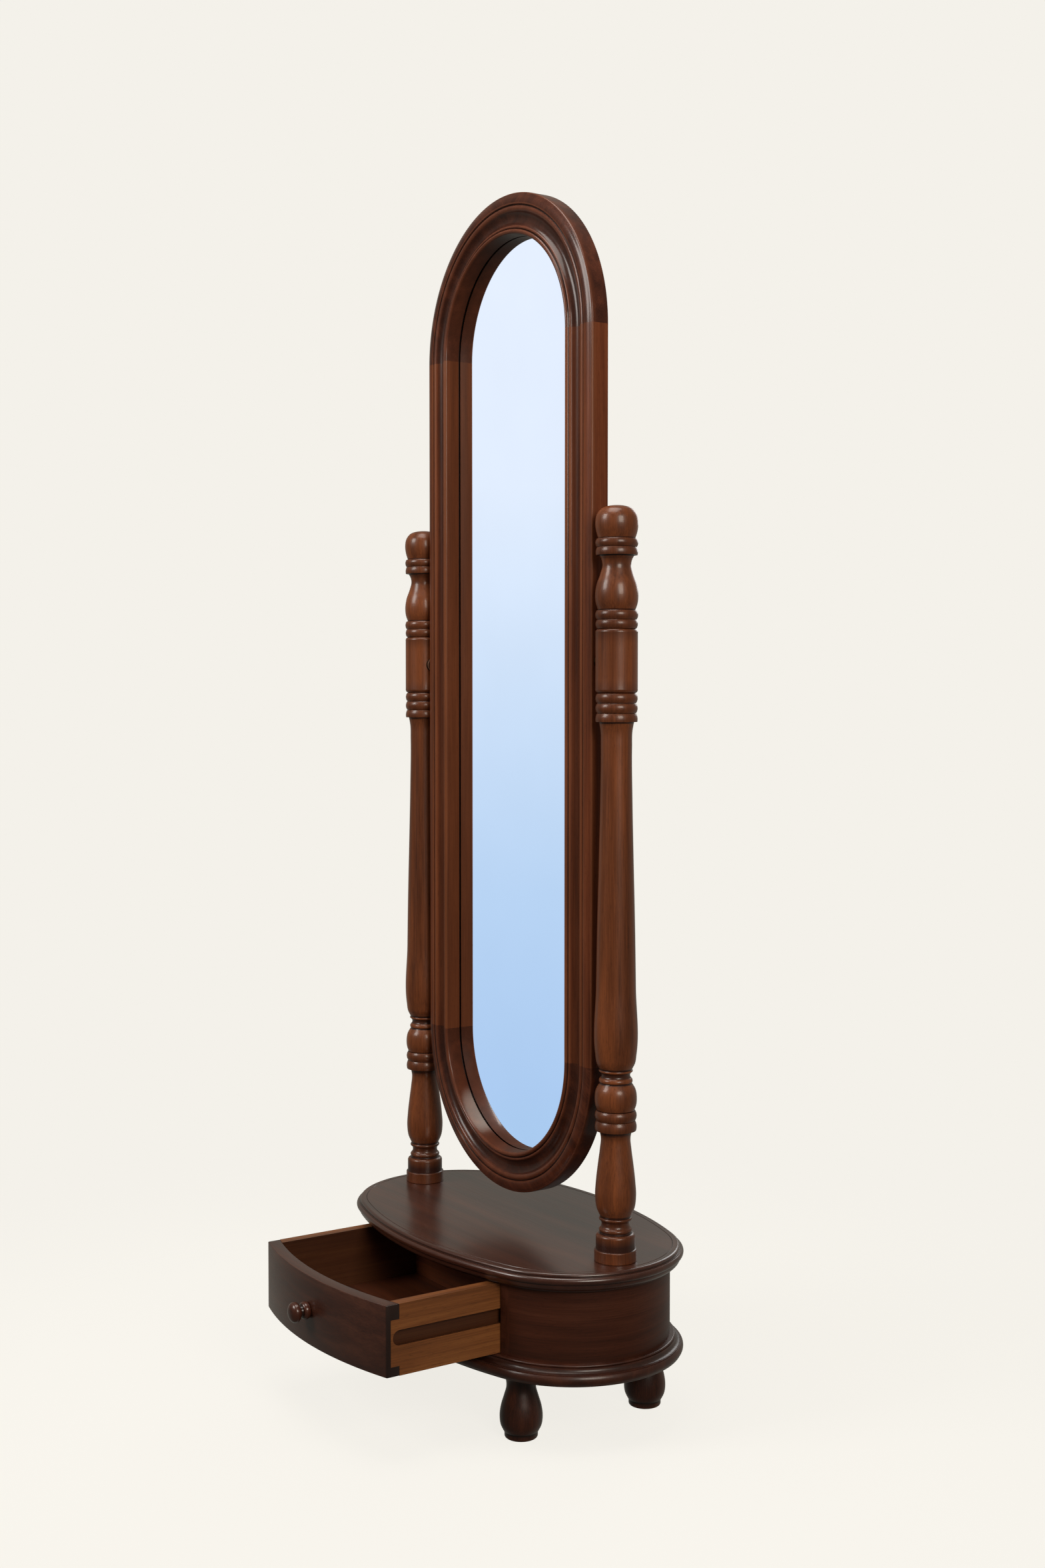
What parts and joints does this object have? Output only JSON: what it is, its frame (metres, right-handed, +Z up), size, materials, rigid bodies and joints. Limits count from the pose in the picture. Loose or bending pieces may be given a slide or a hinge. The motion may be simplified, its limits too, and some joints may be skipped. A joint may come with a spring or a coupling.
{
  "type": "cheval floor mirror",
  "caption": "Floor mirror with rounded ends that tilts between turned posts on a low oval case with a bow-fronted drawer and turned feet.",
  "frame": {"origin": "middle of the whole object's footprint on the floor with the drawer standing open; the post axes lie 90.75 mm behind it", "axes": "+Z up, front faces -Y, +X to the right of a viewer who looks along +Y at the glass"},
  "size_m": [0.6, 0.5375, 1.697],
  "materials": {
    "mahogany_dark": "satin",
    "mahogany_warm": "satin",
    "drawer_wood": "satin",
    "inner_wood": "matte",
    "panel_board": "matte",
    "steel": "satin",
    "brass": "satin",
    "washer_leather": "matte",
    "silvered_glass": "polished"
  },
  "bodies": {
    "stand": {"bottom_board": "mahogany_dark", "case_end_left": "mahogany_dark", "case_end_right": "mahogany_dark", "case_back": "mahogany_dark", "top_board": "mahogany_dark", "foot_front_left": "mahogany_dark", "foot_front_right": "mahogany_dark", "foot_back_left": "mahogany_dark", "foot_back_right": "mahogany_dark", "post_left": "mahogany_warm", "post_right": "mahogany_warm", "partition_left": "inner_wood", "partition_right": "inner_wood", "runner_left": "inner_wood", "runner_right": "inner_wood", "cleat_left": "inner_wood", "cleat_right": "inner_wood", "glue_blocks": "inner_wood", "drawer_stops": "inner_wood", "drawer_catch": "inner_wood", "foot_bolts": "steel", "post_rods": "steel", "rod_washers": "steel", "rod_nuts": "steel", "base_screws": "steel", "cleat_screws": "steel", "runner_screws": "steel", "catch_screw": "steel", "pivot_bush_left": "brass", "pivot_bush_right": "brass"},
    "mirror": {"stile_left": "mahogany_dark", "stile_right": "mahogany_dark", "arch_top_left": "mahogany_dark", "arch_top_right": "mahogany_dark", "arch_bottom_left": "mahogany_dark", "arch_bottom_right": "mahogany_dark", "frame_dowels": "inner_wood", "mirror_glass": "silvered_glass", "backing_board": "panel_board", "back_clips": "brass", "clip_screws": "steel", "pivot_pins": "steel", "pivot_collars": "brass", "friction_washers": "washer_leather"},
    "drawer": {"drawer_front": "mahogany_dark", "drawer_side_left": "drawer_wood", "drawer_side_right": "drawer_wood", "drawer_back": "drawer_wood", "drawer_bottom": "panel_board", "drawer_knob": "mahogany_dark", "knob_screw": "steel"}
  },
  "joints": [
    {"name": "mirror_tilt", "type": "hinge", "parent": "stand", "child": "mirror", "pos_m": [0, 0.09075, 1.038], "axis": [1, 0, 0], "range_deg": [-45, 45]},
    {"name": "drawer_slide", "type": "slide", "parent": "stand", "child": "drawer", "axis": [0, -1, 0], "range_m": [-0.172, 0.018]}
  ]
}
